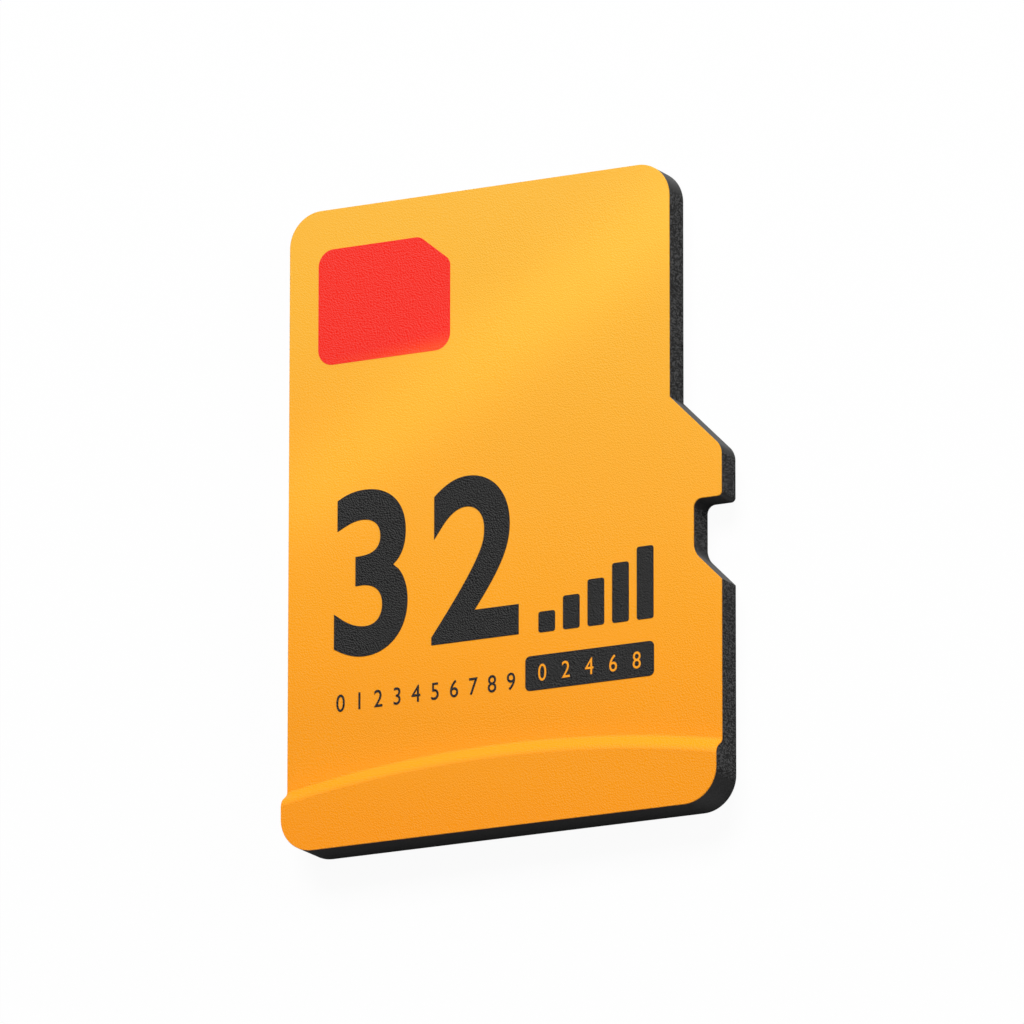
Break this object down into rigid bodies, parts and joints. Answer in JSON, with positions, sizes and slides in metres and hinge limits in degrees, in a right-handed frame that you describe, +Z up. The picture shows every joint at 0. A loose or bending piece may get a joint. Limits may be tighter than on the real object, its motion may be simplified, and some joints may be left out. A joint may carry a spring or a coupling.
{
  "type": "memory card",
  "caption": "Thin memory card with a notched outline, sloped shoulder, raised finger lip, printed orange label and gold contact fingers underneath.",
  "frame": {"origin": "under the middle of the card's box, on the face that it rests on", "axes": "+X across the card to the notched edge, +Y along the card to its contact end, +Z up out of the label"},
  "size_m": [0.011, 0.015, 0.001],
  "materials": {
    "case_epoxy": "moulded epoxy, fine matte grain",
    "board_mask": "black solder mask, satin",
    "label_ink": "satin ink, yellow running to orange, fine grain",
    "red_ink": "satin ink, fine grain",
    "dark_ink": "satin ink, fine grain",
    "contact_gold": "hard gold plating, smooth",
    "silicon": "ground silicon, smooth",
    "die_film": "adhesive film",
    "bond_gold": "drawn gold wire",
    "capacitor_ceramic": "fired ceramic"
  },
  "bodies": {
    "root": {"moulded_case": "case_epoxy", "substrate_board": "board_mask", "label_coat": "label_ink", "label_red_field": "red_ink", "label_dark_badge": "dark_ink", "memory_die_lower": "silicon", "memory_die_upper": "silicon", "controller_die": "silicon", "die_film_lower": "die_film", "die_film_upper": "die_film", "die_film_controller": "die_film", "bond_wires_lower": "bond_gold", "bond_wires_upper": "bond_gold", "bond_wires_controller": "bond_gold", "contact_1": "contact_gold", "contact_2": "contact_gold", "contact_3": "contact_gold", "contact_4": "contact_gold", "contact_5": "contact_gold", "contact_6": "contact_gold", "contact_7": "contact_gold", "contact_8": "contact_gold", "capacitor_1": "capacitor_ceramic", "capacitor_2": "capacitor_ceramic", "capacitor_3": "capacitor_ceramic"}
  },
  "joints": []
}
